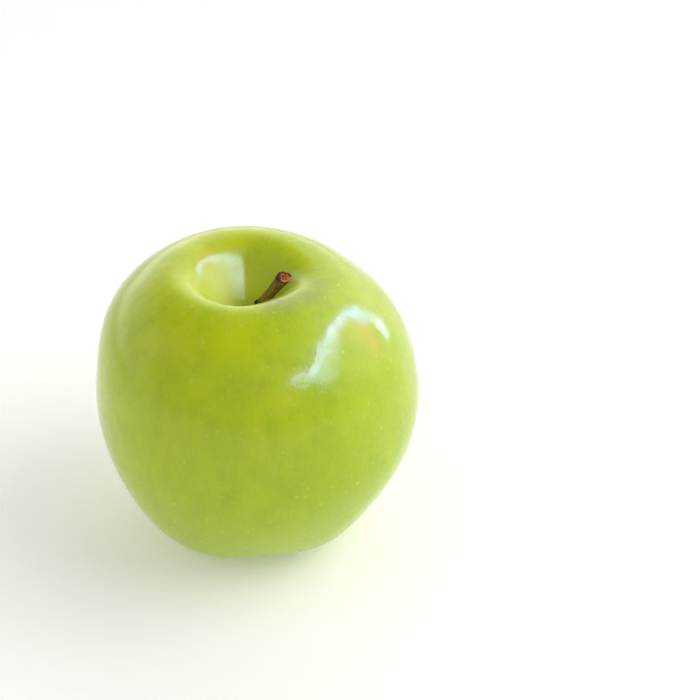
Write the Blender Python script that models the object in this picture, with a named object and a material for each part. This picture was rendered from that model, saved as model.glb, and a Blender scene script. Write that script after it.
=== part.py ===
"""A whole green eating apple with its stem and the dried calyx underneath.

Metres, +Z up, standing on z = 0 with the stem cavity on top. -Y is the front.
The body stands on five knobs round the calyx basin, and the foot of each is flat.
"""

import math

import bmesh
import bpy
from mathutils import Vector

MM = 0.001

# Sizes of the body
GIRTH = 80.0 * MM
HEIGHT = 73.4 * MM
CAVITY_DEPTH = 15.5 * MM
CAVITY_MOUTH = 14.8 * MM
STEM_SEAT = 3.0 * MM
BASIN_DEPTH = 8.5 * MM
BASIN_MOUTH = 14.2 * MM

# The five knobs of the foot and the low ridges that run up from them
LOBES = 5
KNOB_TURN = math.radians(-54.0)
KNOB_RISE = 1.1 * MM
KNOB_SWELL = 0.014
SHOULDER_TURN = math.radians(20.0)
SHOULDER_SWELL = 0.005
SHOULDER_TILT = 0.9 * MM
CORE_X = -2.05 * MM
BELLY_SHIFT = 2.0 * MM
OVAL = 0.004
OVAL_TURN = math.radians(29.0)

# Creases down the wall of the stem cavity: direction in degrees and depth
CREASES = ((91.0, 1.7 * MM), (228.0, 0.7 * MM))
CREASE_SPREAD = math.radians(24.0)
CREASE_ROUNDING = math.radians(3.0)
# The low side of the rim, over which the stem leans
VALLEY_TURN = math.radians(-6.0)
VALLEY_WIDTH = math.radians(38.0)
VALLEY_DEPTH = 1.2 * MM
# Broad swells of the wall, inwards where the depth is above zero: direction, depth and spread in degrees
SWELLS = ((312.0, 2.0 * MM, 42.0), (262.0, -1.1 * MM, 26.0))
BACK_NARROWING = 0.08

# Where along the outline, counted in its control points, each of these is strongest, and how widely
FUNNEL_AT, FUNNEL_SPREAD = 3.4, 1.5
RIM_AT, RIM_SPREAD = 5.0, 1.3
CREST_AT, CREST_SPREAD = 6.2, 2.4
BELLY_AT, BELLY_SPREAD = 9.9, 2.1
FOOT_AT, FOOT_SPREAD = 13.6, 2.1

# Stem: how far its foot stands to the side of the core, its height and its lean
STEM_OFFSET = 0.5 * MM
STEM_RISE = 12.75 * MM
STEM_REACH = 8.5 * MM
STEM_FORWARD = 0.9 * MM
STEM_BEND = 0.06
STEM_RADIUS = 1.22 * MM
STEM_DENT = 0.04

# Calyx
SEPALS = 5
SEPAL_TURN = math.radians(12.0)
SEPAL_SPAN = 0.38
SEPAL_THICKNESS = 0.45 * MM

# Clear space left between one solid and the next
GAP = 0.5 * MM

BODY_SEGMENTS, BODY_RINGS = 80, 64
STEM_SIDES, STEM_CUTS = 14, 15
CALYX_SEGMENTS, CALYX_RINGS = 60, 16

SKIN_GREEN = (0.386, 0.474, 0.028, 1.0)
STEM_BROWN = (0.112, 0.078, 0.018, 1.0)
CALYX_BROWN = (0.068, 0.042, 0.020, 1.0)


def hump(value, middle, spread):
    """1 at the middle, falling smoothly to 0 on both sides."""
    return math.exp(-(((value - middle) / spread) ** 2))


def curve_point(controls, share):
    """The point at this share of a uniform cubic B-spline over (radius, height) control points."""
    spans = len(controls) - 3
    first = min(int(share * spans), spans - 1)
    u = share * spans - first
    weights = ((1 - u) ** 3, 3 * u**3 - 6 * u**2 + 4, 1 + 3 * u + 3 * u**2 - 3 * u**3, u**3)
    near = controls[first : first + 4]
    return tuple(sum(w * point[i] for w, point in zip(weights, near)) / 6 for i in (0, 1))


def body_outline():
    """Half section of the body, from the cavity floor over the crest and flank to the basin floor.

    The first and last points repeat the floor across the axis, so that both floors are level."""
    belly = GIRTH / 2
    floor = HEIGHT - CAVITY_DEPTH
    return [
        (-STEM_SEAT, floor),
        (0.0, floor),
        (STEM_SEAT, floor),
        (0.31 * CAVITY_MOUTH, floor + 0.20 * CAVITY_DEPTH),
        (0.53 * CAVITY_MOUTH, floor + 0.475 * CAVITY_DEPTH),
        (0.745 * CAVITY_MOUTH, floor + 0.755 * CAVITY_DEPTH),
        (CAVITY_MOUTH, HEIGHT),
        (0.56 * belly, 0.985 * HEIGHT),
        (0.785 * belly, 0.88 * HEIGHT),
        (0.91 * belly, 0.775 * HEIGHT),
        (0.98 * belly, 0.655 * HEIGHT),
        (1.01 * belly, 0.445 * HEIGHT),
        (0.915 * belly, 0.27 * HEIGHT),
        (0.76 * belly, 0.105 * HEIGHT),
        (0.59 * belly, 0.028 * HEIGHT),
        (BASIN_MOUTH, -0.0215 * HEIGHT),
        (0.63 * BASIN_MOUTH, 0.16 * BASIN_DEPTH),
        (0.43 * BASIN_MOUTH, 0.66 * BASIN_DEPTH),
        (0.22 * BASIN_MOUTH, BASIN_DEPTH),
        (0.0, BASIN_DEPTH),
        (-0.22 * BASIN_MOUTH, BASIN_DEPTH),
    ]


def skin_point(outline, share, angle):
    """A point of the skin: share runs from the cavity floor to the basin floor, angle round the core."""
    radius, height = curve_point(outline, share)
    station = share * (len(outline) - 3)
    funnel = hump(station, FUNNEL_AT, FUNNEL_SPREAD)
    crest = hump(station, CREST_AT, CREST_SPREAD)
    foot = hump(station, FOOT_AT, FOOT_SPREAD)

    knob = math.cos(LOBES * (angle - KNOB_TURN))
    ridge = math.cos(LOBES * (angle - SHOULDER_TURN))
    oval = math.cos(2 * (angle - OVAL_TURN))
    radius *= 1 + KNOB_SWELL * foot * knob + SHOULDER_SWELL * crest * ridge + OVAL * oval
    radius *= 1 - BACK_NARROWING * funnel * max(math.sin(angle), 0.0)
    for degrees, depth, spread in SWELLS:
        turn = math.remainder(angle - math.radians(degrees), math.tau)
        radius -= depth * funnel * hump(turn, 0.0, math.radians(spread))
    for degrees, depth in CREASES:
        turn = math.remainder(angle - math.radians(degrees), math.tau)
        radius += depth * funnel * math.exp(-math.hypot(turn, CREASE_ROUNDING) / CREASE_SPREAD)

    height += KNOB_RISE * foot * (1 - knob) / 2
    height -= SHOULDER_TILT * crest * math.cos(angle) * min(1.0, radius / (0.375 * GIRTH))
    valley = hump(math.remainder(angle - VALLEY_TURN, math.tau), 0.0, VALLEY_WIDTH)
    height -= VALLEY_DEPTH * valley * hump(station, RIM_AT, RIM_SPREAD)
    x = CORE_X + BELLY_SHIFT * hump(station, BELLY_AT, BELLY_SPREAD) + radius * math.cos(angle)
    return Vector((x, radius * math.sin(angle), max(height, 0.0)))


def stem_line(share):
    """The middle of the stem, upright where it leaves the cavity floor and then leaning over to +X."""
    lean = (math.hypot(share, STEM_BEND) - STEM_BEND) / (math.hypot(1, STEM_BEND) - STEM_BEND)
    foot = HEIGHT - CAVITY_DEPTH + GAP
    return Vector((CORE_X + STEM_OFFSET + STEM_REACH * lean, -STEM_FORWARD * lean, foot + STEM_RISE * share))


def stem_point(share, side, across):
    """A point of the stem; side and across are its place in the section, on or in a unit circle."""
    step = 0.01
    along = (stem_line(share + step) - stem_line(max(share - step, 0.0))).normalized()
    forward = along.cross(Vector((1.0, 0.0, 0.0))).normalized()
    sideways = forward.cross(along)
    angle = math.atan2(across, side)
    radius = STEM_RADIUS * (1 + 0.2 * hump(share, 0.0, 0.15) + 0.3 * hump(share, 1.0, 0.16))
    radius *= 1 + 0.05 * math.cos(2 * angle + 3 * share)
    return stem_line(share) + radius * (side * sideways + across * forward)


def sepal_outline():
    """Middle line of one sepal: out along the basin floor, down, then curling outwards at the tip."""
    floor = ((-1.6, 0.0), (0.0, 0.0), (1.6, 0.0))
    sepal = ((2.9, -0.4), (3.4, -1.9), (3.5, -3.5), (4.5, -4.8), (7.0, -5.2))
    return [(radius * MM, height * MM) for radius, height in floor + sepal]


def calyx_point(line, share, angle):
    """A point of the calyx: from its top, out to the edge of the sepals and back along the inside."""
    reach = 2 * min(share, 1 - share)
    sepal = 0.5 + 0.5 * math.cos(SEPALS * (angle - SEPAL_TURN))
    length = SEPAL_SPAN + (1 - SEPAL_SPAN) * sepal**1.5
    radius, height = curve_point(line, reach * length)
    ahead = curve_point(line, min(reach * length + 0.01, 1.0))
    behind = curve_point(line, max(reach * length - 0.01, 0.0))
    slope = math.atan2(ahead[1] - behind[1], ahead[0] - behind[0])
    half = SEPAL_THICKNESS * math.sqrt(1 - reach**2) * (1 if share < 0.5 else -1)
    radius -= half * math.sin(slope)
    height += half * math.cos(slope)
    top = BASIN_DEPTH - GAP - SEPAL_THICKNESS
    return Vector((CORE_X + radius * math.cos(angle), radius * math.sin(angle), top + height))


def material(name, colour, roughness):
    made = bpy.data.materials.new(name)
    made.use_nodes = True
    shader = made.node_tree.nodes["Principled BSDF"]
    shader.inputs["Base Color"].default_value = colour
    shader.inputs["Roughness"].default_value = roughness
    shader.inputs["Metallic"].default_value = 0.0
    return made


def finish(part, name, look, collection):
    """Name the object, give it its material and put it in the apple's collection."""
    part.name = name
    part.data.name = name
    part.data.materials.append(look)
    for polygon in part.data.polygons:
        polygon.use_smooth = True
    for other in list(part.users_collection):
        other.objects.unlink(part)
    collection.objects.link(part)
    return part


def moved_sphere(segments, rings, place):
    """A UV sphere whose points are all moved by place(share from the top pole, angle round the axis)."""
    bpy.ops.mesh.primitive_uv_sphere_add(segments=segments, ring_count=rings, radius=1.0)
    sphere = bpy.context.object
    for vertex in sphere.data.vertices:
        x, y, z = vertex.co
        share = math.acos(max(-1.0, min(1.0, z))) / math.pi
        vertex.co = place(share, math.atan2(y, x))
    return sphere


def make_body():
    outline = body_outline()
    return moved_sphere(BODY_SEGMENTS, BODY_RINGS, lambda share, angle: skin_point(outline, share, angle))


def make_calyx():
    line = sepal_outline()
    return moved_sphere(CALYX_SEGMENTS, CALYX_RINGS, lambda share, angle: calyx_point(line, share, angle))


def make_stem():
    """A cylinder cut across into short lengths, dished at the torn end and bent along the stem's line."""
    bpy.ops.mesh.primitive_cylinder_add(vertices=STEM_SIDES, radius=1.0, depth=1.0, location=(0, 0, 0))
    stem = bpy.context.object
    mesh = bmesh.new()
    mesh.from_mesh(stem.data)
    lengthways = [edge for edge in mesh.edges if abs(edge.verts[0].co.z - edge.verts[1].co.z) > 0.5]
    bmesh.ops.subdivide_edges(mesh, edges=lengthways, cuts=STEM_CUTS)
    end = max(mesh.faces, key=lambda face: face.calc_center_median().z)
    bmesh.ops.inset_region(mesh, faces=[end], thickness=0.35)
    for vertex in end.verts:
        vertex.co.z -= STEM_DENT
    for vertex in mesh.verts:
        vertex.co = stem_point(vertex.co.z + 0.5, vertex.co.x, vertex.co.y)
    mesh.to_mesh(stem.data)
    mesh.free()
    return stem


def build():
    for old in list(bpy.data.objects):
        bpy.data.objects.remove(old, do_unlink=True)
    collection = bpy.data.collections.new("green_apple")
    bpy.context.scene.collection.children.link(collection)
    finish(make_body(), "apple_body", material("green_skin", SKIN_GREEN, 0.32), collection)
    finish(make_stem(), "stem", material("stem_bark", STEM_BROWN, 0.75), collection)
    finish(make_calyx(), "calyx", material("dried_calyx", CALYX_BROWN, 0.85), collection)


build()
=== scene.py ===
# %% [markdown]
# # A whole green apple
#
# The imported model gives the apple's true size and place: a body, a stem and a dried calyx, all in
# metres, standing on the ground at height zero. This lesson dresses those three shapes. The body gets a
# waxy green skin, the stem its bark and torn end, and the calyx its five sepals and old stamens.

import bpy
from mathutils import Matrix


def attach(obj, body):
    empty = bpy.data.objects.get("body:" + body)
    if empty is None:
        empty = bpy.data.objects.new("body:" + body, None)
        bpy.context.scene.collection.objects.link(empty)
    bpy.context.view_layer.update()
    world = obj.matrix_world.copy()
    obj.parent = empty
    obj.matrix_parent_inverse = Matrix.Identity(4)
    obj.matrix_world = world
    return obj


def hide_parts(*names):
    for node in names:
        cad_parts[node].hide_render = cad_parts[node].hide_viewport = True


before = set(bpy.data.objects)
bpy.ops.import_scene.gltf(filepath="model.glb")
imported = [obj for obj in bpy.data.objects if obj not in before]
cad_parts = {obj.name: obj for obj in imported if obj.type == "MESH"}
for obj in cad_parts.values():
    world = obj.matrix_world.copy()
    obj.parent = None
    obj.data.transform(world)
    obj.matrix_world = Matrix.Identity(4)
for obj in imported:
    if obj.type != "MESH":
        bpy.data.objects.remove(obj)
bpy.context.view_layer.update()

# %% [markdown]
# ## Helpers
#
# Everything below is built from a few small helpers. Colours are written as on a paint chart, in sRGB
# hex, and one function turns them into the linear light values that the renderer works with. One
# function adds a shader node, sets it and links it, so each material reads as a list of ideas.

# %% Colour and node helpers
import math
import random

import bmesh
import bpy
from mathutils import Matrix, Vector, noise

MM = 0.001


def paint(code):
    """An sRGB hex colour as linear red, green, blue and alpha."""
    parts = [int(code[i : i + 2], 16) / 255 for i in (0, 2, 4)]
    return tuple(c / 12.92 if c <= 0.04045 else ((c + 0.055) / 1.055) ** 2.4 for c in parts) + (1.0,)


def add(tree, kind, sockets=None, **settings):
    """Add a node. Settings are its properties; sockets give a value, or the output to link from."""
    made = tree.nodes.new("ShaderNode" + kind)
    for name, value in settings.items():
        setattr(made, name, value)
    for name, value in (sockets or {}).items():
        if isinstance(value, bpy.types.NodeSocket):
            tree.links.new(value, made.inputs[name])
        else:
            made.inputs[name].default_value = value
    return made


def new_material(name):
    """An empty material with its Principled shader, ready for its pattern."""
    made = bpy.data.materials.new(name)
    made.use_nodes = True
    return made, made.node_tree, made.node_tree.nodes["Principled BSDF"]


# The setting of a ramp with soft ends, for a change that shows no edge
SOFT_ENDS = {"interpolation_type": "SMOOTHSTEP"}


# %% Mesh helpers
def hump(value, middle, spread):
    """1 at the middle, falling smoothly to 0 on both sides."""
    return math.exp(-(((value - middle) / spread) ** 2))


def smooth(value, low, high):
    """0 below low, 1 above high and a soft step between."""
    t = max(0.0, min(1.0, (value - low) / (high - low)))
    return t * t * (3 - 2 * t)


def cut_cylinder(mesh, sides, cuts):
    """Add a unit cylinder from height 0 to 1, cut across into short lengths, and return its points.

    Known fault: cutting rebuilds the mesh, so in one that holds more, all its points come back.
    """
    old = set(mesh.verts)
    upright = Matrix.Translation((0, 0, 0.5))
    bmesh.ops.create_cone(
        mesh, cap_ends=True, segments=sides, radius1=1.0, radius2=1.0, depth=1.0, matrix=upright
    )
    new = [edge for edge in mesh.edges if edge.verts[0] not in old]
    lengthways = [edge for edge in new if abs(edge.verts[0].co.z - edge.verts[1].co.z) > 0.5]
    bmesh.ops.subdivide_edges(mesh, edges=lengthways, cuts=cuts)
    return [vertex for vertex in mesh.verts if vertex not in old]


def object_from(mesh, name, material, node):
    """Turn a finished bmesh into a smooth piece that rides on the apple and stands for a measured node."""
    bmesh.ops.recalc_face_normals(mesh, faces=mesh.faces)
    data = bpy.data.meshes.new(name)
    mesh.to_mesh(data)
    mesh.free()
    data.materials.append(material)
    data.shade_smooth()
    piece = bpy.data.objects.new(name, data)
    bpy.context.scene.collection.objects.link(piece)
    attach(piece, "root")
    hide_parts(node)
    sides = [round(1000 * side, 1) for side in piece.dimensions]
    print(name, len(data.polygons), "faces, sides in mm:", sides)
    return piece


# %% [markdown]
# ## The shape of the skin
#
# An apple grows round its core, so its form is easiest to give as half a section, swept round the core.
# The section is a smooth B-spline: it starts at the floor of the stem cavity, climbs over the crest, runs
# down the flank and turns in at the foot to the floor of the calyx basin. A plain turned shape would look
# like a lathe's, so the sweep then adds what growth adds: five knobs at the foot, faint ridges above
# them, one shoulder higher than the other, a core that stands a little off the middle, and creases
# down the wall of the cavity.

# %% Sizes of the body
GIRTH = 80.0 * MM
HEIGHT = 73.4 * MM
CAVITY_DEPTH = 15.5 * MM
CAVITY_MOUTH = 14.8 * MM
STEM_SEAT = 3.0 * MM
BASIN_DEPTH = 8.5 * MM
BASIN_MOUTH = 14.2 * MM
CORE_X = -2.05 * MM
BELLY_SHIFT = 2.0 * MM

LOBES = 5
KNOB_TURN = math.radians(-54.0)
KNOB_RISE = 1.1 * MM
KNOB_SWELL = 0.014
SHOULDER_TURN = math.radians(20.0)
SHOULDER_SWELL = 0.005
SHOULDER_TILT = 0.9 * MM
OVAL = 0.004
OVAL_TURN = math.radians(29.0)
BACK_NARROWING = 0.08
# Broad swells of the cavity wall: direction in degrees, depth (below zero where the wall stands back)
# and spread in degrees
SWELLS = ((312.0, 2.0 * MM, 42.0), (262.0, -1.1 * MM, 26.0))
# Creases in the cavity wall: direction in degrees and depth
CREASES = ((91.0, 1.7 * MM), (228.0, 0.7 * MM))
CREASE_SPREAD = math.radians(24.0)
CREASE_ROUNDING = math.radians(3.0)
# The low side of the rim, over which the stem leans
VALLEY_TURN = math.radians(-6.0)
VALLEY_WIDTH = math.radians(38.0)
VALLEY_DEPTH = 1.2 * MM

# Where along the section, counted in its control points, each form is strongest, and how widely
FUNNEL_AT, FUNNEL_SPREAD = 3.4, 1.5
RIM_AT, RIM_SPREAD = 5.0, 1.3
CREST_AT, CREST_SPREAD = 6.2, 2.4
BELLY_AT, BELLY_SPREAD = 9.9, 2.1
FOOT_AT, FOOT_SPREAD = 13.6, 2.1


def curve_point(controls, share):
    """The point at this share of a uniform cubic B-spline over (radius, height) control points."""
    spans = len(controls) - 3
    first = min(int(share * spans), spans - 1)
    u = share * spans - first
    weights = ((1 - u) ** 3, 3 * u**3 - 6 * u**2 + 4, 1 + 3 * u + 3 * u**2 - 3 * u**3, u**3)
    near = controls[first : first + 4]
    return tuple(sum(w * point[i] for w, point in zip(weights, near)) / 6 for i in (0, 1))


def body_section():
    """Half section of the body; its ends repeat across the core, so that both floors are level."""
    belly = GIRTH / 2
    floor = HEIGHT - CAVITY_DEPTH
    return [
        (-STEM_SEAT, floor),
        (0.0, floor),
        (STEM_SEAT, floor),
        (0.31 * CAVITY_MOUTH, floor + 0.20 * CAVITY_DEPTH),
        (0.53 * CAVITY_MOUTH, floor + 0.475 * CAVITY_DEPTH),
        (0.745 * CAVITY_MOUTH, floor + 0.755 * CAVITY_DEPTH),
        (CAVITY_MOUTH, HEIGHT),
        (0.56 * belly, 0.985 * HEIGHT),
        (0.785 * belly, 0.88 * HEIGHT),
        (0.91 * belly, 0.775 * HEIGHT),
        (0.98 * belly, 0.655 * HEIGHT),
        (1.01 * belly, 0.445 * HEIGHT),
        (0.915 * belly, 0.27 * HEIGHT),
        (0.76 * belly, 0.105 * HEIGHT),
        (0.59 * belly, 0.028 * HEIGHT),
        (BASIN_MOUTH, -0.0215 * HEIGHT),
        (0.63 * BASIN_MOUTH, 0.16 * BASIN_DEPTH),
        (0.43 * BASIN_MOUTH, 0.66 * BASIN_DEPTH),
        (0.22 * BASIN_MOUTH, BASIN_DEPTH),
        (0.0, BASIN_DEPTH),
        (-0.22 * BASIN_MOUTH, BASIN_DEPTH),
    ]


# %% [markdown]
# The skin also has slight dents and swellings, a quarter of a millimetre deep and one or two
# centimetres wide, where the flesh grew unevenly. They hardly change the outline, but they bend every
# reflection, and that is what keeps a glossy apple from looking like a billiard ball.

# %% A point of the skin
DENT_WIDTH = 15.0 * MM
DENT_DEPTH = 0.30 * MM
RIPPLE_WIDTH = 5.5 * MM
RIPPLE_DEPTH = 0.05 * MM


def skin_point(section, share, angle):
    """A point of the skin: share runs from the cavity floor to the basin floor, angle round the core."""
    radius, height = curve_point(section, share)
    station = share * (len(section) - 3)
    funnel = hump(station, FUNNEL_AT, FUNNEL_SPREAD)
    crest = hump(station, CREST_AT, CREST_SPREAD)
    foot = hump(station, FOOT_AT, FOOT_SPREAD)

    knob = math.cos(LOBES * (angle - KNOB_TURN))
    ridge = math.cos(LOBES * (angle - SHOULDER_TURN))
    oval = math.cos(2 * (angle - OVAL_TURN))
    radius *= 1 + KNOB_SWELL * foot * knob + SHOULDER_SWELL * crest * ridge + OVAL * oval
    radius *= 1 - BACK_NARROWING * funnel * max(math.sin(angle), 0.0)
    for degrees, depth, spread in SWELLS:
        turn = math.remainder(angle - math.radians(degrees), math.tau)
        radius -= depth * funnel * hump(turn, 0.0, math.radians(spread))
    for degrees, depth in CREASES:
        turn = math.remainder(angle - math.radians(degrees), math.tau)
        radius += depth * funnel * math.exp(-math.hypot(turn, CREASE_ROUNDING) / CREASE_SPREAD)

    height += KNOB_RISE * foot * (1 - knob) / 2
    height -= SHOULDER_TILT * crest * math.cos(angle) * min(1.0, radius / (0.375 * GIRTH))
    valley = hump(math.remainder(angle - VALLEY_TURN, math.tau), 0.0, VALLEY_WIDTH)
    height -= VALLEY_DEPTH * valley * hump(station, RIM_AT, RIM_SPREAD)
    x = CORE_X + BELLY_SHIFT * hump(station, BELLY_AT, BELLY_SPREAD) + radius * math.cos(angle)
    place = Vector((x, radius * math.sin(angle), height))
    outward = (place - Vector((CORE_X, 0.0, 0.5 * HEIGHT))).normalized()
    dent = DENT_DEPTH * noise.noise(place / DENT_WIDTH) + RIPPLE_DEPTH * noise.noise(place / RIPPLE_WIDTH)
    place += outward * dent * smooth(share, 0.02, 0.2) * smooth(1 - share, 0.02, 0.2)
    place.z = max(place.z, 0.0)
    return place


# %% Build the skin
SKIN_SEGMENTS, SKIN_RINGS = 320, 240


def make_skin(material):
    """A UV sphere whose points are moved onto the skin; each keeps its place on its meridian."""
    section = body_section()
    mesh = bmesh.new()
    bmesh.ops.create_uvsphere(mesh, u_segments=SKIN_SEGMENTS, v_segments=SKIN_RINGS, radius=1.0)
    meridian = mesh.verts.layers.float_vector.new("meridian")
    for vertex in mesh.verts:
        x, y, z = vertex.co
        share = math.acos(max(-1.0, min(1.0, z))) / math.pi
        angle = math.atan2(y, x)
        vertex[meridian] = (math.cos(angle), math.sin(angle), share)
        vertex.co = skin_point(section, share, angle)
    return object_from(mesh, "apple_skin", material, "apple_body")


# %% [markdown]
# ## Waxy skin
#
# The skin of a green apple is a thin, tough cuticle over green and yellow cells, covered in the fruit's
# own wax and rubbed to a shine. Light enters it a little way, so its green stays lively in the shade, and
# the wax mirrors windows almost sharply. One noise texture over the whole fruit would look like marble.
# A real skin is built up in layers of different sizes instead: patches as wide as a fingertip, mottling as
# wide as a lentil, short pale dashes that follow the meridians near the stem, and pale breathing pores, the
# lenticels, so each of these is its own step below. Painted light is laid over them: a warm reflection drawn
# as a blush, a painted sheen on the left shoulder, the window's haze painted into the cavity, and a paler
# cavity wall as painted fill light.
#
# Patches and pores read Object coordinates. Dashes read the meridian attribute, so that they converge on
# the stem as the real ones do.

# %% Colours of the skin
LEAF_GREEN = paint("a6c20c")
YELLOW_GREEN = paint("c0ce0c")
DARK_CELLS = paint("98b208")
# Paler than the skin: painted fill light that lifts the shade of the stem cavity
CAVITY_FILL_GREEN = paint("ccda2c")
FLECK = paint("c8d43c")
SUN_YELLOW = paint("ccd80a")
# Used for yellower places, and for a painted sheen on the front left shoulder
PALE_YELLOW_AND_SHEEN = paint("dce450")
PALE_DASH = paint("d0da64")
PORE = paint("d2dc5c")
# A painted reflection of something warm in the room, drawn as a blush
WARM_REFLECTION = paint("dcba40")
TAN = paint("bea832")
# Partly wax bloom and partly the painted reflection of the window's pale haze in the cavity
BLOOM_AND_REFLECTION = paint("dce478")
DULL_GREEN = paint("8e9c34")
RUSSET = paint("9c8a4c")

# %% Sizes and places of the skin's marks
# How wide the patches, the groups of darker cells and the pale flecks are
PATCH_WIDTH = 11.0 * MM
MOTTLE_WIDTH = 4.5 * MM
FLECK_WIDTH = 1.6 * MM
# Cells of the dashes' noise per radian round the core, and from the cavity floor to the basin floor
DASH_CELLS = (56.0, 56.0, 60.0)
# The two kinds of pore: how far apart their cells are and their radius, in mm, and how strong they are
PORE_KINDS = ((2.9, 0.75, 0.75), (1.5, 0.42, 0.5))
# The pores are bent out of round by a noise of this width and by this much
PORE_BEND_WIDTH, PORE_BEND = 0.9 * MM, 0.7 * MM
RUSSET_WIDTH = 1.6 * MM

# Spots in mm: middle, radius, strength and colour. The first five are a painted reflection of something warm
# in
# the room, drawn as a blush: on the right shoulder inside the window's reflection, and at the upper left of
# the cavity. Then come a small tan mark and the cavity's pale patches, partly wax bloom and partly the
# painted reflection of the window's haze on its left wall. The rest are the duller rim in front and to the
# right of the cavity, a painted sheen on the front left shoulder, and yellower places of the shoulders. A
# later spot lies over an earlier one
SPOTS = (
    ((25.4, -15.0, 62.5), 8.0, 0.2, WARM_REFLECTION),
    ((25.2, -13.4, 64.0), 3.2, 0.4, WARM_REFLECTION),
    ((27.8, -15.6, 60.8), 2.4, 0.4, WARM_REFLECTION),
    ((19.0, -18.6, 66.6), 3.6, 0.25, WARM_REFLECTION),
    ((-11.5, 8.0, 71.0), 3.8, 0.4, WARM_REFLECTION),
    ((0.6, -32.4, 61.6), 2.2, 0.35, TAN),
    ((-8.5, 4.5, 65.5), 8.0, 0.95, BLOOM_AND_REFLECTION),
    ((-10.5, -5.5, 70.5), 5.5, 0.4, BLOOM_AND_REFLECTION),
    ((5.0, -13.5, 71.2), 7.5, 0.9, DULL_GREEN),
    ((-22.0, -17.0, 63.0), 8.0, 0.6, PALE_YELLOW_AND_SHEEN),
    ((12.0, -10.5, 71.5), 6.0, 0.7, DULL_GREEN),
    ((15.0, -5.0, 71.5), 5.0, 0.5, DULL_GREEN),
    ((-6.5, -25.0, 68.5), 9.0, 0.7, SUN_YELLOW),
    ((-15.5, 11.0, 70.5), 6.0, 0.5, PALE_YELLOW_AND_SHEEN),
)
# The side that the sun reached: the fruit is yellower there
SUN_SIDE = (-0.75, 0.0, 0.66)
# A place on the front shoulder where the skin's grain was never rubbed smooth: its middle, and the radii at
# which the grain starts and is full
ROUGH_SPOT = tuple(v * MM for v in (12.0, -30.6, 59.2))
ROUGH_RADIUS, ROUGH_CORE = 6.0 * MM, 2.0 * MM


# %% Skin colour
def skin_colour(tree, place, share):
    """The skin's colour in layers, from the broad patches to the spots, some of which are painted light."""
    # From leaf green to yellow green towards the sun, made uneven by patches. Patches and mottling are twice
    # as tall as they are wide
    sunny = add(tree, "VectorMath", {0: place, 1: SUN_SIDE}, operation="DOT_PRODUCT")
    sunny = add(tree, "MapRange", {0: sunny.outputs["Value"], 1: 0.0, 2: 60 * MM, 4: 0.75})
    tall = add(tree, "VectorMath", {0: place, 1: (1.0, 1.0, 0.5)}, operation="MULTIPLY").outputs[0]
    patch = add(tree, "TexNoise", {"Vector": tall, "Scale": 1 / PATCH_WIDTH, "Detail": 4.0, "Roughness": 0.6})
    patch = add(tree, "MapRange", {0: patch.outputs["Fac"], 1: 0.3, 2: 0.7, 3: -0.4, 4: 0.4})
    amount = add(tree, "Math", {0: sunny.outputs[0], 1: patch.outputs[0]}, operation="ADD", use_clamp=True)
    colour = add(tree, "Mix", {0: amount.outputs[0], 6: LEAF_GREEN, 7: YELLOW_GREEN}, data_type="RGBA")

    # Groups of darker cells, and pale flecks that hardly show
    mottle = add(tree, "TexNoise", {"Vector": tall, "Scale": 1 / MOTTLE_WIDTH, "Detail": 4.0,
                                    "Roughness": 0.6})
    amount = add(tree, "MapRange", {0: mottle.outputs["Fac"], 1: 0.58, 2: 0.3, 4: 0.38}, **SOFT_ENDS)
    colour = add(tree, "Mix", {0: amount.outputs[0], 6: colour.outputs[2], 7: DARK_CELLS}, data_type="RGBA")
    fleck = add(tree, "TexNoise", {"Vector": place, "Scale": 1 / FLECK_WIDTH, "Detail": 3.0,
                                   "Roughness": 0.6})
    amount = add(tree, "MapRange", {0: fleck.outputs["Fac"], 1: 0.48, 2: 0.78, 4: 0.3})
    colour = add(tree, "Mix", {0: amount.outputs[0], 6: colour.outputs[2], 7: FLECK}, data_type="RGBA")

    # The foot is a fresher green than the shoulders, and the wall of the stem cavity is painted a paler
    # green, a painted fill light that lifts its shade
    amount = add(tree, "MapRange", {0: share, 1: 0.5, 2: 0.8, 4: 0.6}, **SOFT_ENDS)
    colour = add(tree, "Mix", {0: amount.outputs[0], 6: colour.outputs[2], 7: LEAF_GREEN}, data_type="RGBA")
    amount = add(tree, "MapRange", {0: share, 1: 0.31, 2: 0.13, 4: 0.75}, **SOFT_ENDS)
    colour = add(tree, "Mix", {0: amount.outputs[0], 6: colour.outputs[2], 7: CAVITY_FILL_GREEN}, data_type="RGBA")

    # The spots, with edges broken up by the flecks. Some are painted reflections and a painted sheen
    for at, radius, strength, tint in SPOTS:
        centre = tuple(v * MM for v in at)
        away = add(tree, "VectorMath", {0: place, 1: centre}, operation="DISTANCE")
        uneven = add(tree, "Math", {0: fleck.outputs["Fac"], 1: FLECK_WIDTH, 2: away.outputs["Value"]},
                     operation="MULTIPLY_ADD")
        reach = radius * MM + FLECK_WIDTH
        amount = add(tree, "MapRange", {0: uneven.outputs[0], 1: reach, 2: 0.6 * MM, 4: strength},
                     **SOFT_ENDS)
        colour = add(tree, "Mix", {0: amount.outputs[0], 6: colour.outputs[2], 7: tint}, data_type="RGBA")
    return colour.outputs[2], mottle.outputs["Fac"]


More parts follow.
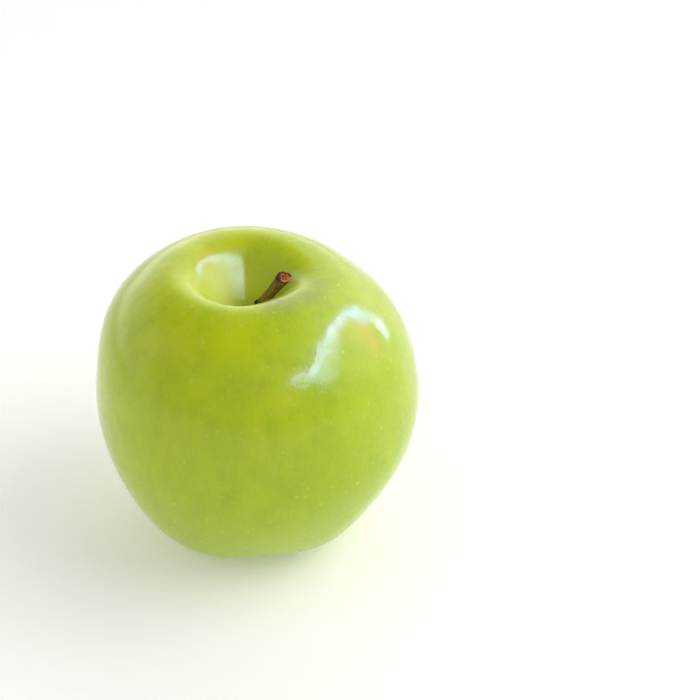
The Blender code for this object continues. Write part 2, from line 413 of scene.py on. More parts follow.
# %% Dashes, pores and russet
def skin_marks(tree, place, meridian, share, colour):
    """The fine marks on the skin. Returns the new colour, how much each point is a pore, and the streaks."""
    # Pale dashes along the meridians, 0.5 mm wide and 2.5 mm long, thickest round the stem cavity
    lanes = add(tree, "VectorMath", {0: meridian, 1: DASH_CELLS}, operation="MULTIPLY")
    streaks = add(tree, "TexNoise", {"Vector": lanes.outputs[0], "Scale": 1.0, "Detail": 2.0,
                                     "Roughness": 0.6})
    dash = add(tree, "MapRange", {0: streaks.outputs["Fac"], 1: 0.52, 2: 0.74}, **SOFT_ENDS)
    near = add(tree, "MapRange", {0: share, 1: 0.42, 2: 0.24, 3: 0.08, 4: 0.5}, **SOFT_ENDS)
    dash = add(tree, "Math", {0: dash.outputs[0], 1: near.outputs[0]}, operation="MULTIPLY")
    colour = add(tree, "Mix", {0: dash.outputs[0], 6: colour, 7: PALE_DASH}, data_type="RGBA")

    # Two sizes of pore. Only the dots whose centre lies near the surface show, so those that do are about
    # 6 mm and 3 mm apart
    shift = add(tree, "TexNoise", {"Vector": place, "Scale": 1 / PORE_BEND_WIDTH, "Detail": 1.0})
    shift = add(tree, "VectorMath", {0: shift.outputs["Color"], 1: (PORE_BEND,) * 3, 2: place},
                operation="MULTIPLY_ADD")
    pores = None
    for spacing, radius, most in PORE_KINDS:
        cells = add(tree, "TexVoronoi", {"Vector": shift.outputs[0], "Scale": 1 / (spacing * MM)})
        dot = add(tree, "MapRange", {0: cells.outputs["Distance"], 1: radius / spacing, 2: 0.0}, **SOFT_ENDS)
        chance = add(tree, "SeparateColor", {0: cells.outputs["Color"]})
        fade = add(tree, "MapRange", {0: chance.outputs[0], 1: 0.1, 2: 1.0, 4: most})
        dot = add(tree, "Math", {0: dot.outputs[0], 1: fade.outputs[0]}, operation="MULTIPLY")
        pores = dot if pores is None else add(tree, "Math", {0: pores.outputs[0], 1: dot.outputs[0]},
                                              operation="MAXIMUM")
    colour = add(tree, "Mix", {0: pores.outputs[0], 6: colour.outputs[2], 7: PORE}, data_type="RGBA")

    # Corky russet where the stem leaves the cavity and round the calyx
    net = add(tree, "TexNoise", {"Vector": place, "Scale": 1 / RUSSET_WIDTH, "Detail": 4.0, "Roughness": 0.7})
    net = add(tree, "MapRange", {0: net.outputs["Fac"], 1: 0.38, 2: 0.62}, **SOFT_ENDS)
    for low, high in ((0.13, 0.03), (0.945, 0.985)):
        amount = add(tree, "MapRange", {0: share, 1: low, 2: high, 4: 0.85}, **SOFT_ENDS)
        amount = add(tree, "Math", {0: amount.outputs[0], 1: net.outputs[0]}, operation="MULTIPLY")
        colour = add(tree, "Mix", {0: amount.outputs[0], 6: colour.outputs[2], 7: RUSSET}, data_type="RGBA")
    return colour.outputs[2], pores.outputs[0], streaks.outputs["Fac"]


# %% Relief and shine of the skin
# How wide and how deep each layer of the relief is. The grain is worn in places 9 mm wide
WAVE_WIDTH, WAVE_RELIEF = 2.8 * MM, 0.05 * MM
GRAIN_WIDTH, GRAIN_RELIEF = 0.5 * MM, 0.04 * MM
WORN_WIDTH = 9.0 * MM
STREAK_RELIEF = 0.028 * MM
PORE_RELIEF = 0.012 * MM


def make_skin_material():
    """The waxy skin: its colours and marks, its relief and its shine."""
    material, tree, shader = new_material("waxy_green_skin")
    place = add(tree, "TexCoord").outputs["Object"]
    meridian = add(tree, "Attribute", attribute_name="meridian").outputs["Vector"]
    share = add(tree, "SeparateXYZ", {0: meridian}).outputs["Z"]
    colour, mottle = skin_colour(tree, place, share)
    colour, pores, streaks = skin_marks(tree, place, meridian, share, colour)

    # Relief: the wavy cuticle, its fine orange-peel grain, the dashes, and the pores, which stand a little
    # proud. Rubbing has worn the grain away in places, but not in the cavity or at the rough spot
    wave = add(tree, "TexNoise", {"Vector": place, "Scale": 1 / WAVE_WIDTH, "Detail": 2.0, "Roughness": 0.5})
    grain = add(tree, "TexNoise", {"Vector": place, "Scale": 1 / GRAIN_WIDTH, "Detail": 1.0})
    worn = add(tree, "TexNoise", {"Vector": place, "Scale": 1 / WORN_WIDTH, "Detail": 1.0})
    worn = add(tree, "MapRange", {0: worn.outputs["Fac"], 1: 0.35, 2: 0.65, 3: 0.3}, **SOFT_ENDS)
    unrubbed = add(tree, "MapRange", {0: share, 1: 0.3, 2: 0.22, 4: 0.6}, **SOFT_ENDS)
    away = add(tree, "VectorMath", {0: place, 1: ROUGH_SPOT}, operation="DISTANCE")
    rough_spot = add(tree, "MapRange", {0: away.outputs["Value"], 1: ROUGH_RADIUS, 2: ROUGH_CORE, 4: 0.5},
                     **SOFT_ENDS)
    unrubbed = add(tree, "Math", {0: unrubbed.outputs[0], 1: rough_spot.outputs[0]}, operation="MAXIMUM")
    worn = add(tree, "Math", {0: worn.outputs[0], 1: unrubbed.outputs[0]}, operation="ADD")
    relief = add(tree, "Bump", {"Strength": 1.0, "Distance": WAVE_RELIEF, "Height": wave.outputs["Fac"]})
    relief = add(tree, "Bump", {"Strength": worn.outputs[0], "Distance": GRAIN_RELIEF,
                                "Height": grain.outputs["Fac"], "Normal": relief.outputs[0]})
    relief = add(tree, "Bump", {"Strength": 1.0, "Distance": STREAK_RELIEF, "Height": streaks,
                                "Normal": relief.outputs[0]})
    relief = add(tree, "Bump", {"Strength": 1.0, "Distance": PORE_RELIEF, "Height": pores,
                                "Normal": relief.outputs[0]})

    # The coat is the wax, which gives the sharp shine. Under it the cuticle is dull, and a little light goes
    # into the flesh and comes out again, so the shaded side stays a lively green
    rough = add(tree, "MapRange", {0: mottle, 1: 0.3, 2: 0.7, 3: 0.4, 4: 0.52})
    tree.links.new(colour, shader.inputs["Base Color"])
    tree.links.new(rough.outputs[0], shader.inputs["Roughness"])
    tree.links.new(relief.outputs[0], shader.inputs["Normal"])
    tree.links.new(relief.outputs[0], shader.inputs["Coat Normal"])
    shader.inputs["IOR"].default_value = 1.4
    shader.inputs["Specular IOR Level"].default_value = 0.12
    shader.inputs["Coat Weight"].default_value = 0.95
    shader.inputs["Coat Roughness"].default_value = 0.09
    shader.inputs["Coat IOR"].default_value = 1.4
    shader.inputs["Subsurface Weight"].default_value = 0.2
    shader.inputs["Subsurface Radius"].default_value = (0.8, 1.0, 0.25)
    shader.inputs["Subsurface Scale"].default_value = 2.0 * MM
    return material


make_skin(make_skin_material())

# %% [markdown]
# ## The stem
#
# The stem is a woody twig about as thick as a match. It widens where it grows out of the core and again
# at the knob where it broke off the branch. A curve with a round bevel would give an even pipe, so
# this one starts as a cylinder that is cut across into short lengths. Every ring of points then gets its
# own place, and the bark its ridges, its dents and one scar on the left.
#
# The end is torn, not cut: two lips of bark stand up, and the underside of the leaning twig is the longer
# side, so the break faces up. The bark is a cup there, and the wood in it is a piece of its own.

# %% Line and break of the stem
STEM_OFFSET = 0.5 * MM
STEM_RISE = 12.75 * MM
STEM_REACH = 8.5 * MM
STEM_FORWARD = 0.9 * MM
STEM_BEND = 0.06
STEM_RADIUS = 1.22 * MM
# The measured stem stands clear of the cavity floor by this much. The bark starts this share of its length
# lower, sunk into the skin, so that it looks rooted
STEM_CLEARANCE = 0.5 * MM
STEM_FOOT = -0.07


def stem_frame(share):
    """The middle of the stem at this share of its length, with its sideways, backward and long directions."""

    def middle(s):
        lean = (math.hypot(max(s, 0.0), STEM_BEND) - STEM_BEND) / (math.hypot(1, STEM_BEND) - STEM_BEND)
        height = HEIGHT - CAVITY_DEPTH + STEM_CLEARANCE + STEM_RISE * s
        return Vector((CORE_X + STEM_OFFSET + STEM_REACH * lean, -STEM_FORWARD * lean, height))

    along = (middle(share + 0.01) - middle(share - 0.01)).normalized()
    backward = along.cross(Vector((1.0, 0.0, 0.0))).normalized()
    return middle(share), backward.cross(along), backward, along


def stem_radius(share):
    """How thick the twig is: even in the middle, wider at the core and at the knob."""
    return STEM_RADIUS * (1 + 0.3 * hump(share, 0.0, 0.15) + 0.36 * hump(share, 1.0, 0.2))


def break_height(side, across):
    """How far the torn end stands above the end of the stem's line, by the place in its section."""
    angle = math.degrees(math.atan2(across, side))
    lips = 0.42 * hump(angle, 150, 32) + 0.34 * hump(angle, -15, 24) - 0.2 * hump(angle, -85, 30)
    ragged = noise.noise(Vector((3.2 * side, 3.2 * across, 7.0)))
    return (0.85 * side + 0.10 * across + math.hypot(side, across) ** 3 * lips + 0.26 * ragged) * MM


# %% Bark of the stem
BARK_SIDES, BARK_CUTS = 48, 90
BARK_THICKNESS = 0.26
WOOD_NARROWING = 0.74
SCAR_AT = 0.5


def make_bark(material):
    """A cut cylinder whose end is inset and pushed in to a cup, then bent along the stem."""
    mesh = bmesh.new()
    cut_cylinder(mesh, BARK_SIDES, BARK_CUTS)
    end = max(mesh.faces, key=lambda face: face.calc_center_median().z)
    bmesh.ops.inset_region(mesh, faces=[end], thickness=BARK_THICKNESS)
    cup = bmesh.ops.extrude_face_region(mesh, geom=[end])["geom"]
    bmesh.ops.delete(mesh, geom=[end], context="FACES_ONLY")
    bmesh.ops.translate(mesh, verts=[v for v in cup if isinstance(v, bmesh.types.BMVert)], vec=(0, 0, -0.06))

    lane = mesh.verts.layers.float_vector.new("stem_place")
    scar = mesh.verts.layers.float.new("scar")
    for vertex in mesh.verts:
        side, across, height = vertex.co
        if math.hypot(side, across) < 1 - 0.5 * BARK_THICKNESS:
            side *= WOOD_NARROWING
        share = STEM_FOOT + (1 - STEM_FOOT) * height
        angle = math.atan2(across, side)
        round_place = Vector((math.cos(angle), math.sin(angle), 0))
        ridges = noise.noise(2.4 * round_place + Vector((0, 0, 4 * share)))
        wrinkles = noise.noise(7.5 * round_place + Vector((0, 0, 9 * share)))
        vertex[scar] = hump(share, SCAR_AT, 0.05) * hump(math.remainder(angle - 3.3, math.tau), 0, 0.6)
        radius = stem_radius(share) * (1 + 0.05 * math.cos(2 * angle + 3 * share))
        radius *= 1 + 0.06 * ridges + 0.06 * wrinkles + 0.13 * vertex[scar]
        radius *= 1 + 0.05 * hump(share, 0.93, 0.02) - 0.04 * hump(share, 0.86, 0.03)
        vertex[lane] = (math.cos(angle), math.sin(angle), share)
        middle, sideways, backward, along = stem_frame(share)
        torn = break_height(side, across) * smooth(height, 0.82, 0.99)
        vertex.co = middle + radius * (side * sideways + across * backward) + torn * along
    return object_from(mesh, "stem_bark", material, "stem")


# %% [markdown]
# ## Torn wood
#
# Inside the bark the wood is a bundle of fibres that snapped at different heights. It could be a noisy
# texture on a flat lid, but from the side such a lid gives itself away. So the lid is inset ring after
# ring, its points are raised and sunk by a noise that is fine across the twig, and splinters, small
# five-sided cones, stand in it.

# %% Torn wood
WOOD_SIDES, WOOD_RINGS = 40, 9
SPLINTERS = 26


def wood_point(side, across, height):
    """A point of the wood; height runs from 0 inside the bark to 1 at the break."""
    side *= WOOD_NARROWING
    middle, sideways, backward, along = stem_frame(0.93 + 0.07 * height)
    fibres = abs(noise.noise(Vector((5.5 * side, 5.5 * across, 2.0))))
    rise = break_height(side, across) + (0.45 * fibres - 0.22) * MM
    reach = (1 - BARK_THICKNESS + 0.06) * stem_radius(0.93 + 0.07 * height)
    return middle + reach * (side * sideways + across * backward) + rise * height * along


def make_torn_wood(material):
    """A lid of fibres at the end of the stem, with splinters standing in it."""
    mesh = bmesh.new()
    cut_cylinder(mesh, WOOD_SIDES, 3)
    end = max(mesh.faces, key=lambda face: face.calc_center_median().z)
    for _ in range(WOOD_RINGS):
        bmesh.ops.inset_region(mesh, faces=[end], thickness=0.97 / WOOD_RINGS)
    bmesh.ops.poke(mesh, faces=[end])
    for vertex in mesh.verts:
        vertex.co = wood_point(*vertex.co)

    dice = random.Random(3)
    for _ in range(SPLINTERS):
        angle, reach = dice.uniform(0, math.tau), 0.85 * math.sqrt(dice.random())
        side, across = reach * math.cos(angle), reach * math.sin(angle)
        length = dice.uniform(0.35, 0.8) * MM
        tilt = Vector((dice.uniform(-0.35, 0.35), dice.uniform(-0.35, 0.35), 1.0))
        middle, sideways, backward, along = stem_frame(1.0)
        pointing = tilt.x * sideways + tilt.y * backward + tilt.z * along
        turned = pointing.to_track_quat("Z", "X").to_matrix().to_4x4()
        stand = Matrix.Translation(wood_point(side, across, 1.0)) @ turned
        bmesh.ops.create_cone(
            mesh, cap_ends=True, segments=5, radius1=dice.uniform(0.09, 0.16) * MM, radius2=0.02 * MM,
            depth=length, matrix=stand,
        )
    return object_from(mesh, "stem_torn_wood", material, "stem")


# %% [markdown]
# ## A bud scale
#
# Low on the left of the stem sits a withered scale, what is left of a tiny leaf that once covered the
# flower bud. It is thinner than a fingernail and comes to a point. A sphere squashed flat and drawn out
# at one end is enough for it, and stays closed.

# %% Bud scale
SCALE_AT, SCALE_SIDE = 0.3, math.radians(196)
SCALE_LENGTH = 2.1 * MM
SCALE_WIDTH = 1.3 * MM
SCALE_THICKNESS = 0.34 * MM


def make_bud_scale(material):
    """A squashed sphere, drawn out to a point, that lies on the bark."""
    middle, sideways, backward, along = stem_frame(SCALE_AT)
    outward = math.cos(SCALE_SIDE) * sideways + math.sin(SCALE_SIDE) * backward
    beside = along.cross(outward)
    foot = middle + outward * (stem_radius(SCALE_AT) - 0.1 * MM)
    mesh = bmesh.new()
    bmesh.ops.create_uvsphere(mesh, u_segments=24, v_segments=18, radius=1.0)
    for vertex in mesh.verts:
        x, y, z = vertex.co
        reach = (z + 1) / 2
        point = 1 - 0.75 * reach**1.5
        crumple = 0.12 * MM * noise.noise(Vector((2 * x, 2 * y, 5 * reach)))
        lift = (0.15 + 0.75 * reach**2) * MM + 0.25 * MM * x * x
        vertex.co = (
            foot + along * (SCALE_LENGTH * reach) + beside * (0.5 * SCALE_WIDTH * point * x)
            + outward * (lift + 0.5 * SCALE_THICKNESS * point * y + crumple)
        )
    return object_from(mesh, "stem_bud_scale", material, "stem")


# %% [markdown]
# ## Materials of the stem
#
# The bark is a thin olive-brown cork. It has furrows along the twig, darkens towards the broken end, where
# its edge is nearly black, and shows orange-brown where it was scraped. The furrows read the attribute that
# the mesh kept, so they bend with the twig. Fresh apple wood is pale, but a torn end soon turns rusty, and
# its fibres show as dark and light specks. The lip of bark that broke last, on the near side, is still
# pale. The scale is dead leaf: dark, dry and without shine.

# %% Bark material
BARK = paint("7e6a20")
BARK_LIGHT = paint("bc9c54")
BARK_DARK = paint("4c3412")
BARK_END = paint("2c1a0c")
BARK_SCRAPED = paint("b8783a")
BARK_PALE = paint("d09c60")
# Where the pale lip is, in the directions sideways and backward
NEAR_LIP = (0.5, -0.87, 0.0)
# Cells of the furrows' noise per radian round the twig and along it: 0.3 mm apart and 2 mm long
FURROW_CELLS = (4.2, 4.2, 7.0)
FURROW_RELIEF = 0.12 * MM
SPECK_WIDTH, SPECK_RELIEF = 0.35 * MM, 0.05 * MM


def make_bark_material():
    """Corky bark: furrows and specks, the dark end, the pale lip and the scar."""
    material, tree, shader = new_material("twig_bark")
    place = add(tree, "TexCoord").outputs["Object"]
    lane = add(tree, "Attribute", attribute_name="stem_place").outputs["Vector"]
    scar = add(tree, "Attribute", attribute_name="scar").outputs["Fac"]
    share = add(tree, "SeparateXYZ", {0: lane}).outputs["Z"]

    # Light ridges, dark furrows and dark specks
    lanes = add(tree, "VectorMath", {0: lane, 1: FURROW_CELLS}, operation="MULTIPLY")
    furrow = add(tree, "TexNoise", {"Vector": lanes.outputs[0], "Scale": 1.0, "Detail": 4.0,
                                    "Roughness": 0.65})
    speck = add(tree, "TexNoise", {"Vector": place, "Scale": 1 / SPECK_WIDTH, "Detail": 2.0,
                                   "Roughness": 0.6})
    amount = add(tree, "MapRange", {0: furrow.outputs["Fac"], 1: 0.48, 2: 0.68}, **SOFT_ENDS)
    colour = add(tree, "Mix", {0: amount.outputs[0], 6: BARK, 7: BARK_LIGHT}, data_type="RGBA")
    amount = add(tree, "MapRange", {0: furrow.outputs["Fac"], 1: 0.46, 2: 0.3}, **SOFT_ENDS)
    colour = add(tree, "Mix", {0: amount.outputs[0], 6: colour.outputs[2], 7: BARK_DARK}, data_type="RGBA")
    amount = add(tree, "MapRange", {0: speck.outputs["Fac"], 1: 0.5, 2: 0.75, 4: 0.5})
    colour = add(tree, "Mix", {0: amount.outputs[0], 6: colour.outputs[2], 7: BARK_DARK}, data_type="RGBA")
    # It darkens along its upper half, and is nearly black at the break
    amount = add(tree, "MapRange", {0: share, 1: 0.55, 2: 1.0, 4: 0.3}, **SOFT_ENDS)
    colour = add(tree, "Mix", {0: amount.outputs[0], 6: colour.outputs[2], 7: BARK_DARK}, data_type="RGBA")
    amount = add(tree, "MapRange", {0: share, 1: 0.95, 2: 0.985, 4: 0.9}, **SOFT_ENDS)
    colour = add(tree, "Mix", {0: amount.outputs[0], 6: colour.outputs[2], 7: BARK_END}, data_type="RGBA")
    # The lip on the near side broke last and is still pale
    edge = add(tree, "MapRange", {0: share, 1: 0.985, 2: 0.998}, **SOFT_ENDS)
    near = add(tree, "VectorMath", {0: lane, 1: NEAR_LIP}, operation="DOT_PRODUCT")
    near = add(tree, "MapRange", {0: near.outputs["Value"], 1: 0.3, 2: 0.9, 4: 0.7}, **SOFT_ENDS)
    amount = add(tree, "Math", {0: edge.outputs[0], 1: near.outputs[0]}, operation="MULTIPLY")
    colour = add(tree, "Mix", {0: amount.outputs[0], 6: colour.outputs[2], 7: BARK_PALE}, data_type="RGBA")
    amount = add(tree, "Math", {0: scar, 1: 0.9}, operation="MULTIPLY")
    colour = add(tree, "Mix", {0: amount.outputs[0], 6: colour.outputs[2], 7: BARK_SCRAPED}, data_type="RGBA")

    relief = add(tree, "Bump", {"Strength": 0.9, "Distance": FURROW_RELIEF, "Height": furrow.outputs["Fac"]})
    relief = add(tree, "Bump", {"Strength": 0.6, "Distance": SPECK_RELIEF, "Height": speck.outputs["Fac"],
                                "Normal": relief.outputs[0]})
    rough = add(tree, "MapRange", {0: furrow.outputs["Fac"], 3: 0.85, 4: 0.6})
    tree.links.new(colour.outputs[2], shader.inputs["Base Color"])
    tree.links.new(rough.outputs[0], shader.inputs["Roughness"])
    tree.links.new(relief.outputs[0], shader.inputs["Normal"])
    shader.inputs["IOR"].default_value = 1.4
    return material


# %% Torn wood and dead leaf
WOOD_ORANGE = paint("ff9430")
WOOD_RUST = paint("e64a06")
WOOD_DARK = paint("5c1a08")
LEAF_BROWN = paint("4a2e18")
LEAF_DARK = paint("26170c")
LEAF_RELIEF = 0.08 * MM
# Bundles of fibres, and single fibres, which are drawn coarser than the real ones so that they show
BUNDLE_WIDTH = 0.8 * MM
FIBRE_WIDTH = 0.3 * MM
WOOD_RELIEF = 0.1 * MM


def make_wood_material():
    """Torn wood: bundles from rusty to orange, with dark gaps between the fibres."""
    material, tree, shader = new_material("torn_twig_wood")
    place = add(tree, "TexCoord").outputs["Object"]
    bundle = add(tree, "TexNoise", {"Vector": place, "Scale": 1 / BUNDLE_WIDTH, "Detail": 2.0,
                                    "Roughness": 0.6})
    fibre = add(tree, "TexVoronoi", {"Vector": place, "Scale": 1 / FIBRE_WIDTH, "Randomness": 1.0})
    amount = add(tree, "MapRange", {0: bundle.outputs["Fac"], 1: 0.38, 2: 0.6}, **SOFT_ENDS)
    colour = add(tree, "Mix", {0: amount.outputs[0], 6: WOOD_RUST, 7: WOOD_ORANGE}, data_type="RGBA")
    amount = add(tree, "MapRange", {0: fibre.outputs["Distance"], 1: 0.3, 2: 0.75}, **SOFT_ENDS)
    colour = add(tree, "Mix", {0: amount.outputs[0], 6: colour.outputs[2], 7: WOOD_DARK}, data_type="RGBA")
    relief = add(tree, "Bump", {"Strength": 0.8, "Distance": WOOD_RELIEF,
                                "Height": fibre.outputs["Distance"]})
    tree.links.new(colour.outputs[2], shader.inputs["Base Color"])
    tree.links.new(relief.outputs[0], shader.inputs["Normal"])
    # Dry end grain hardly shines
    shader.inputs["Roughness"].default_value = 0.7
    shader.inputs["IOR"].default_value = 1.45
    shader.inputs["Specular IOR Level"].default_value = 0.2
    return material


def make_dead_leaf_material(name, light, dark, width):
    """Dried leaf, between two browns, in patches of this width."""
    material, tree, shader = new_material(name)
    place = add(tree, "TexCoord").outputs["Object"]
    patch = add(tree, "TexNoise", {"Vector": place, "Scale": 1 / width, "Detail": 4.0, "Roughness": 0.65})
    amount = add(tree, "MapRange", {0: patch.outputs["Fac"], 1: 0.4, 2: 0.62}, **SOFT_ENDS)
    colour = add(tree, "Mix", {0: amount.outputs[0], 6: dark, 7: light}, data_type="RGBA")
    relief = add(tree, "Bump", {"Strength": 0.8, "Distance": LEAF_RELIEF, "Height": patch.outputs["Fac"]})
    tree.links.new(colour.outputs[2], shader.inputs["Base Color"])
    tree.links.new(relief.outputs[0], shader.inputs["Normal"])
    shader.inputs["Roughness"].default_value = 0.85
    shader.inputs["IOR"].default_value = 1.4
    return material


make_bark(make_bark_material())
make_torn_wood(make_wood_material())
make_bud_scale(make_dead_leaf_material("withered_scale", LEAF_BROWN, LEAF_DARK, 0.7 * MM))

# %% [markdown]
# ## The calyx
#
# Underneath, an apple still wears what is left of its flower: five dried sepals that curl outwards from
# the floor of the basin, and a tuft of old stamens between them. A sepal is a small leaf, so each starts
# as a grid. Its points are laid along the section that the measured model uses, narrowed to a point,
# cupped and crumpled, and solidify gives the leaf its thickness. The stamens are meant as thin cylinders,
# cut across into short lengths, bent, and thicker at their tips. Because of the fault in cut_cylinder, each
# new one squeezes those before it to a point, so only the last one shows.

# %% Sepals
SEPALS = 5
SEPAL_TURN = math.radians(12.0)
SEPAL_THICKNESS = 0.32 * MM
SEPAL_WIDTH = 4.3 * MM
# The line of a sepal in mm: how far out from the core, and how high over the floor of the basin
SEPAL_LINE = (
    (-1.6, 0.0), (0.0, 0.0), (1.6, 0.0), (2.9, -0.4), (3.4, -1.9), (3.5, -3.5), (4.5, -4.8), (7.0, -5.2),
)


def make_sepals(material):
    """Five grids, bent along the line, narrowed to a point, crumpled and given their thickness."""
    line = [(radius * MM, height * MM) for radius, height in SEPAL_LINE]
    mesh = bmesh.new()
    for i in range(SEPALS):
        turn = SEPAL_TURN + math.tau * i / SEPALS
        outward = Vector((math.cos(turn), math.sin(turn), 0))
        beside = Vector((-math.sin(turn), math.cos(turn), 0))
        grid = bmesh.ops.create_grid(mesh, x_segments=12, y_segments=26, size=1.0)["verts"]
        for vertex in grid:
            across, reach = vertex.co.x, (vertex.co.y + 1) / 2
            radius, height = curve_point(line, 0.1 + (0.9 - 0.05 * (i % 3)) * reach)
            width = 0.5 * SEPAL_WIDTH * (1 - reach) ** 0.7 * (0.75 + 0.6 * reach)
            crumple = noise.noise(Vector((2.2 * across, 6 * reach, 3.0 * i))) * 0.5 * MM * reach
            cup = 0.55 * MM * across * across * (reach - 0.35)
            twist = 0.5 * MM * across * math.sin(3 * reach + i) * reach
            vertex.co = (
                Vector((CORE_X, 0, BASIN_DEPTH - 0.25 * MM + height))
                + outward * (radius + crumple + cup + twist) + beside * (across * width)
            )
    bmesh.ops.solidify(mesh, geom=mesh.faces[:], thickness=SEPAL_THICKNESS)
    return object_from(mesh, "calyx_sepals", material, "calyx")


# %% Stamens
STAMENS = 17
STAMEN_LENGTH = 4.2 * MM


def make_stamens(material):
    """Thin bent cylinders, thicker at their tips, of which only the last keeps its shape."""
    mesh = bmesh.new()
    dice = random.Random(8)
    for i in range(STAMENS):
        turn = math.tau * i / STAMENS + dice.uniform(-0.15, 0.15)
        base = dice.uniform(0.3, 1.7) * MM
        lean = dice.uniform(-0.1, 0.55)
        length = STAMEN_LENGTH * dice.uniform(0.6, 1.0)
        outward = Vector((math.cos(turn), math.sin(turn), 0))
        beside = Vector((-math.sin(turn), math.cos(turn), 0))
        for vertex in cut_cylinder(mesh, 6, 7):
            side, across, reach = vertex.co
            thick = (0.13 + 0.16 * hump(reach, 1.0, 0.14)) * MM
            middle = Vector((CORE_X, 0, BASIN_DEPTH + 0.3 * MM - length * reach))
            middle += outward * (base + lean * length * reach**2 * 0.5)
            vertex.co = middle + thick * (side * outward + across * beside)
    return object_from(mesh, "calyx_stamens", material, "calyx")


SEPAL_BROWN, SEPAL_DARK = paint("7a6440"), paint("3c2a18")
STAMEN_BROWN, STAMEN_DARK = paint("5e4428"), paint("241810")
make_sepals(make_dead_leaf_material("dried_sepal", SEPAL_BROWN, SEPAL_DARK, 1.8 * MM))
make_stamens(make_dead_leaf_material("dried_stamen", STAMEN_BROWN, STAMEN_DARK, 0.6 * MM))

# %% [markdown]
# ## The studio
#
# The floor is a large sheet of white acrylic with a little light in it, as on a light table. It keeps the
# shadow faint and throws light back up at the fruit, whose rim turns pale where it mirrors the sheet.
#
# The light itself has three parts, because a glossy fruit shows every lamp twice: as light on its colour
# and as a picture in its wax. The picture is a tall arched window at the right, cool like the sky. One big
# panel would mirror as a plain rectangle, so the arch is a row of narrow panes, each with its own width,
# glow and colour, and only the shine sees them. The light on the colour comes from two softboxes, a strong
# one at the right and a weak one at the left, and the shine doesn't see those. The third part is a soft
# room, which is brighter behind and dark overhead, so the top of the fruit doesn't turn milky.

# %% Floor
FLOOR_RADIUS = 3.0
FLOOR_GLOW = 0.2
# The sheet lies a hair below the knobs, because two faces in one plane would flicker
FLOOR_DROP = 0.1 * MM
SHEET_WHITE, SHEET_GREY = paint("f8f8f6"), paint("f4f4f2")
SHEET_GRAIN = 3.0 * MM


def make_floor():
    """A wide disc of cast white acrylic: even, hardly glossy, and lit a little from below."""
    mesh = bmesh.new()
    bmesh.ops.create_circle(mesh, cap_ends=True, segments=96, radius=FLOOR_RADIUS)
    bmesh.ops.translate(mesh, verts=mesh.verts[:], vec=(0.0, 0.0, -FLOOR_DROP))
    data = bpy.data.meshes.new("floor")
    mesh.to_mesh(data)
    mesh.free()
    material, tree, shader = new_material("white_acrylic_sheet")
    place = add(tree, "TexCoord").outputs["Object"]
    grain = add(tree, "TexNoise", {"Vector": place, "Scale": 1 / SHEET_GRAIN, "Detail": 2.0})
    tone = add(tree, "Mix", {0: grain.outputs["Fac"], 6: SHEET_GREY, 7: SHEET_WHITE}, data_type="RGBA")
    tree.links.new(tone.outputs[2], shader.inputs["Base Color"])
    shader.inputs["Roughness"].default_value = 0.8
    shader.inputs["Emission Color"].default_value = paint("ffffff")
    shader.inputs["Emission Strength"].default_value = FLOOR_GLOW
    data.materials.append(material)
    floor = bpy.data.objects.new("floor", data)
    bpy.context.scene.collection.objects.link(floor)


make_floor()

# %% Arched window
# How far to the right of the core the window stands, and how much it is lifted, to the apple's middle
WINDOW_X = 0.6
WINDOW_LIFT = 0.04
# Each pane: where it starts and ends on a plane 1 m to the right (y, z), its width, glow and colour. All
# of it is scaled to the window's distance. The last three are the weaker light inside the arch
PANES = (
    ((0.69, 0.05), (0.76, 0.24), 0.09, 21.0, "b0c4ff"),
    ((0.76, 0.26), (0.71, 0.38), 0.07, 11.0, "a0b8ff"),
    ((0.70, 0.40), (0.59, 0.63), 0.12, 22.0, "88a4ff"),
    ((0.56, 0.66), (0.36, 0.82), 0.13, 20.0, "90a8ff"),
    ((0.33, 0.83), (-0.04, 0.92), 0.13, 24.0, "a0b8ff"),
    ((-0.07, 0.94), (-0.48, 1.01), 0.13, 27.0, "a8c0ff"),
    ((-0.53, 1.01), (-0.90, 0.97), 0.14, 28.0, "acc0ff"),
    ((-1.00, 1.06), (-1.40, 1.24), 0.18, 26.0, "b4c4ff"),
    ((0.15, 0.74), (-0.30, 0.78), 0.18, 8.0, "b0c8ff"),
    ((-0.35, 0.76), (-0.85, 0.74), 0.28, 9.0, "b0c8ff"),
    ((-0.80, 0.40), (0.45, 0.40), 0.35, 0.62, "c0d0ff"),
)


def add_pane(name, start, end, width, glow, colour):
    """A rectangle of light from start to end, turned to face the apple."""
    start, end = (Vector((1.0, *point)) * WINDOW_X for point in (start, end))
    middle, along = (start + end) / 2, end - start
    width *= WINDOW_X
    data = bpy.data.lights.new(name, "AREA")
    data.shape = "RECTANGLE"
    data.size, data.size_y = along.length, width
    # A panel gives pi times its glow from each square metre
    data.energy = glow * math.pi * along.length * width
    data.color = paint(colour)[:3]
    lamp = bpy.data.objects.new(name, data)
    bpy.context.scene.collection.objects.link(lamp)
    side = along.normalized()
    facing = (middle - middle.dot(side) * side).normalized()
    turn = Matrix((side, facing.cross(side), facing)).transposed()
    lamp.matrix_world = Matrix.Translation(middle + Vector((0, 0, WINDOW_LIFT))) @ turn.to_4x4()
    lamp.visible_camera = False
    lamp.visible_diffuse = False


for i, pane in enumerate(PANES):
    add_pane(f"window_{i + 1}", *pane)

# %% Softboxes
SOFTBOX_SIZE = 0.8


def add_softbox(name, place, glow):
    """A square light that faces the apple. It lights the skin, but the shine doesn't see it."""
    data = bpy.data.lights.new(name, "AREA")
    data.shape = "SQUARE"
    data.size = SOFTBOX_SIZE
    data.energy = glow * math.pi * SOFTBOX_SIZE**2
    lamp = bpy.data.objects.new(name, data)
    bpy.context.scene.collection.objects.link(lamp)
    lamp.location = place
    lamp.rotation_euler = (-Vector(place)).to_track_quat("-Z", "Y").to_euler()
    lamp.visible_camera = False
    lamp.visible_glossy = False


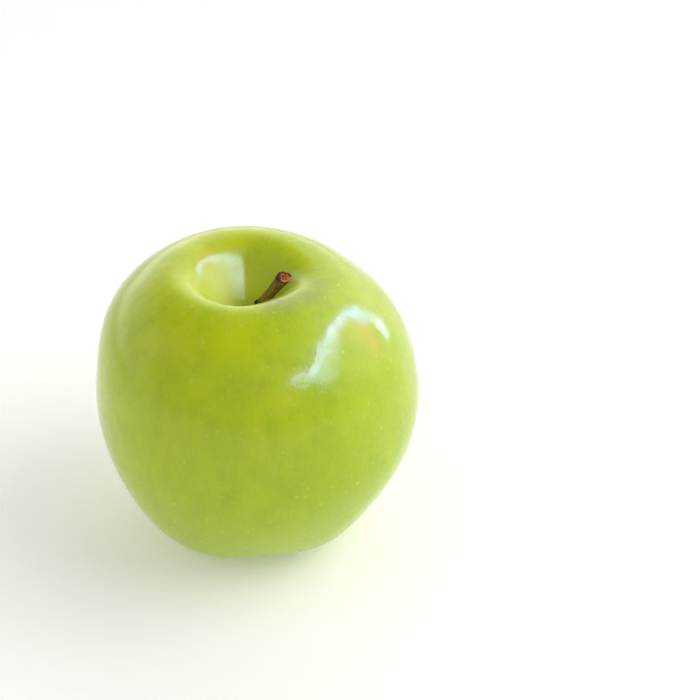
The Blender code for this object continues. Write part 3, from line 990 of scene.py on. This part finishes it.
add_softbox("softbox_right", (0.70, -0.10, 0.70), 2.1)
add_softbox("softbox_left", (-0.50, -0.15, 0.80), 0.34)

# %% Soft room
ROOM_COLOUR = paint("fffdfa")
ROOM_FRONT, ROOM_BACK = 0.48, 1.6
ROOM_CEILING = 0.2
ROOM_LOW_LEFT = 0.75
# Where the room is bright, where its left corner is, and how much lower the dark ceiling starts there
BRIGHT_SIDE = (0.35, 0.94, 0.0)
LEFT_CORNER = (-0.7, 0.7, 0.0)
CEILING_LOWERING = 0.35


def make_room():
    """A world that brightens towards the back right and darkens overhead."""
    world = bpy.data.worlds.new("soft_room")
    bpy.context.scene.world = world
    world.use_nodes = True
    tree = world.node_tree
    toward = add(tree, "TexCoord").outputs["Generated"]
    side = add(tree, "VectorMath", {0: toward, 1: BRIGHT_SIDE}, operation="DOT_PRODUCT")
    side = add(tree, "MapRange", {0: side.outputs["Value"], 1: -0.6, 2: 0.8, 3: ROOM_FRONT, 4: ROOM_BACK},
               **SOFT_ENDS)
    height = add(tree, "SeparateXYZ", {0: toward}).outputs["Z"]
    left = add(tree, "VectorMath", {0: toward, 1: LEFT_CORNER}, operation="DOT_PRODUCT")
    left = add(tree, "MapRange", {0: left.outputs["Value"], 1: 0.3, 2: 0.85}, **SOFT_ENDS)
    lowered = add(tree, "Math", {0: left.outputs[0], 1: CEILING_LOWERING, 2: height},
                  operation="MULTIPLY_ADD")
    ceiling = add(tree, "MapRange", {0: lowered.outputs[0], 1: 0.7, 2: 0.93, 3: 1.0, 4: ROOM_CEILING},
                  **SOFT_ENDS)
    strength = add(tree, "Math", {0: side.outputs[0], 1: ceiling.outputs[0]}, operation="MULTIPLY")

    # A bright low band behind on the left, which gives the apple its pale rim there
    band = add(tree, "MapRange", {0: height, 1: 0.35, 2: 0.0, 4: ROOM_LOW_LEFT}, **SOFT_ENDS)
    strength = add(tree, "Math", {0: band.outputs[0], 1: left.outputs[0], 2: strength.outputs[0]},
                   operation="MULTIPLY_ADD")
    background = tree.nodes["Background"]
    background.inputs["Color"].default_value = ROOM_COLOUR
    tree.links.new(strength.outputs[0], background.inputs["Strength"])


make_room()

# %% [markdown]
# ## Camera
#
# The camera looks down at 36 degrees from half a metre away, through a long lens, so the apple is hardly
# distorted. It aims a little to the apple's right, which puts the fruit at the left of the square frame.
# The view transform is Standard, because a filmic one would dull the greens.

# %% Camera
CAMERA_ELEVATION = math.radians(36)
CAMERA_DISTANCE = 0.5
LENS = 103.6
SENSOR = 36
# The middle of the apple, and how far right of it and above it the camera aims
APPLE_MIDDLE = 38.0 * MM
AIM_RIGHT = 22.98 * MM
AIM_UP = 8.66 * MM

aim = Vector((0, 0, APPLE_MIDDLE))
up = Vector((0, math.sin(CAMERA_ELEVATION), math.cos(CAMERA_ELEVATION)))
target = aim + Vector((AIM_RIGHT, 0, 0)) + AIM_UP * up
camera_data = bpy.data.cameras.new("camera")
camera_data.lens = LENS
camera_data.sensor_width = SENSOR
camera = bpy.data.objects.new("camera", camera_data)
bpy.context.scene.collection.objects.link(camera)
back = Vector((0, -math.cos(CAMERA_ELEVATION), math.sin(CAMERA_ELEVATION)))
camera.location = aim + CAMERA_DISTANCE * back
camera.rotation_euler = (target - camera.location).to_track_quat("-Z", "Y").to_euler()
bpy.context.scene.camera = camera

view_settings = bpy.context.scene.view_settings
view_settings.view_transform = "Standard"
view_settings.look = "None"
